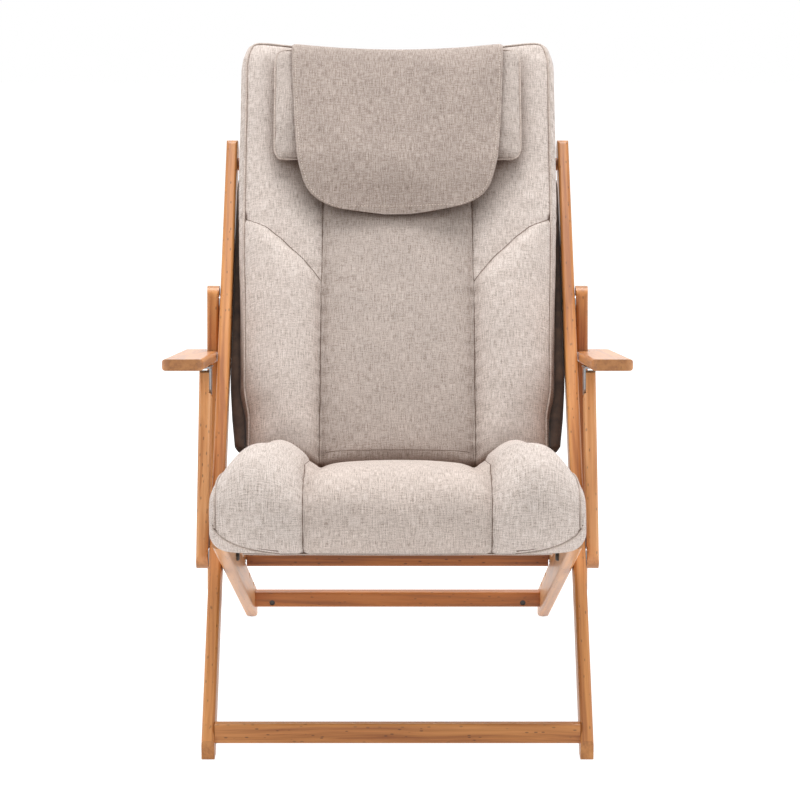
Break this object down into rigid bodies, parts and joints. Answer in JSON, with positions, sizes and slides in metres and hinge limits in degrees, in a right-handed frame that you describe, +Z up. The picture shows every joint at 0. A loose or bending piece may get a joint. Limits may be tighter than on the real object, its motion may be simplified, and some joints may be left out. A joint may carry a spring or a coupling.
{
  "type": "folding lounge chair",
  "caption": "Folding wooden lounge chair with flat armrests on pivoting posts, a quilted seat and back cushion and a head pillow whose flap hangs over the back.",
  "frame": {"origin": "on the floor, under the middle of the chair's box", "axes": "+Z up, the chair faces -Y, +X to the right in a view from the front; left is -X"},
  "size_m": [0.736, 0.9252, 1.0456],
  "materials": {
    "beech": "satin clear lacquer",
    "beech_bars": "satin clear lacquer",
    "linen_fabric": "mottled linen weave",
    "lining_fabric": "matte dark lining",
    "dark_steel": "matte black oxide",
    "zinc_steel": "zinc plated",
    "glide_rubber": "matte"
  },
  "bodies": {
    "seat_frame": {"seat_board_left": "beech", "seat_board_right": "beech", "front_bar": "beech_bars", "rear_stretcher": "beech_bars", "barrel_nut_left": "dark_steel", "barrel_nut_right": "dark_steel", "stretcher_bolt_left": "dark_steel", "stretcher_bolt_right": "dark_steel", "rear_glide_left": "glide_rubber", "rear_glide_right": "glide_rubber", "main_bolt_left": "dark_steel", "main_bolt_right": "dark_steel", "main_nut_left": "dark_steel", "main_nut_right": "dark_steel", "inner_washer_left": "zinc_steel", "inner_washer_right": "zinc_steel", "outer_washer_left": "zinc_steel", "outer_washer_right": "zinc_steel"},
    "back_frame": {"long_rail_left": "beech", "long_rail_right": "beech", "top_bar": "beech_bars", "foot_bar": "beech", "front_glide_left": "glide_rubber", "front_glide_right": "glide_rubber", "prop_bolt_left": "dark_steel", "prop_bolt_right": "dark_steel", "prop_nut_left": "dark_steel", "prop_nut_right": "dark_steel", "prop_washer_left": "zinc_steel", "prop_washer_right": "zinc_steel"},
    "prop": {"prop_rail_left": "beech", "prop_rail_right": "beech", "prop_bar": "beech_bars", "rest_pin_left": "dark_steel", "rest_pin_right": "dark_steel"},
    "post_left": {"arm_post_left": "beech", "arm_bolt_left": "dark_steel"},
    "post_right": {"arm_post_right": "beech", "arm_bolt_right": "dark_steel"},
    "arm_left": {"armrest_left": "beech", "arm_bracket_left": "zinc_steel", "bracket_screw_front_left": "zinc_steel", "bracket_screw_rear_left": "zinc_steel"},
    "arm_right": {"armrest_right": "beech", "arm_bracket_right": "zinc_steel", "bracket_screw_front_right": "zinc_steel", "bracket_screw_rear_right": "zinc_steel"},
    "seat_pad": {"seat_panel": "lining_fabric", "seat_cushion": "linen_fabric"},
    "back_pad": {"back_panel": "lining_fabric", "back_cushion": "linen_fabric"},
    "headrest": {"head_pillow": "linen_fabric", "head_flap": "linen_fabric"}
  },
  "joints": [
    {"name": "frame_fold", "type": "hinge", "parent": "seat_frame", "child": "back_frame", "pos_m": [0, -0.14022, 0.26248], "axis": [-1, 0, 0], "range_deg": [0, 56]},
    {"name": "prop_swing", "type": "hinge", "parent": "back_frame", "child": "prop", "pos_m": [0, 0.17909, 0.62087], "axis": [1, 0, 0], "range_deg": [0, 134.41]},
    {"name": "post_swing_left", "type": "hinge", "parent": "back_frame", "child": "post_left", "pos_m": [0, -0.14022, 0.26248], "axis": [-1, 0, 0], "range_deg": [0, 17.41]},
    {"name": "post_swing_right", "type": "hinge", "parent": "back_frame", "child": "post_right", "pos_m": [0, -0.14022, 0.26248], "axis": [-1, 0, 0], "range_deg": [0, 17.41]},
    {"name": "armrest_swing_left", "type": "hinge", "parent": "post_left", "child": "arm_left", "pos_m": [0, -0.02623, 0.51494], "axis": [1, 0, 0], "range_deg": [0, 73.61]},
    {"name": "armrest_swing_right", "type": "hinge", "parent": "post_right", "child": "arm_right", "pos_m": [0, -0.02623, 0.51494], "axis": [1, 0, 0], "range_deg": [0, 73.61]},
    {"name": "seat_tilt", "type": "hinge", "parent": "seat_frame", "child": "seat_pad", "pos_m": [0, -0.3601, 0.36809], "axis": [-1, 0, 0], "range_deg": [0, 18.7]},
    {"name": "back_tilt", "type": "hinge", "parent": "back_frame", "child": "back_pad", "pos_m": [0, 0.372, 0.83739], "axis": [-1, 0, 0], "range_deg": [0, 5.02]},
    {"name": "headrest_slide", "type": "slide", "parent": "back_pad", "child": "headrest", "axis": [0, 0.5254, 0.8509], "range_m": [0, 0.04]}
  ],
  "couplings": [
    {"joint": "prop_swing", "follows": "frame_fold", "ratio": 2.4},
    {"joint": "post_swing_left", "follows": "frame_fold", "ratio": 0.3107},
    {"joint": "post_swing_right", "follows": "frame_fold", "ratio": 0.3107},
    {"joint": "armrest_swing_left", "follows": "frame_fold", "ratio": 1.3143},
    {"joint": "armrest_swing_right", "follows": "frame_fold", "ratio": 1.3143},
    {"joint": "seat_tilt", "follows": "frame_fold", "ratio": 0.3337},
    {"joint": "back_tilt", "follows": "frame_fold", "ratio": 0.0894}
  ]
}
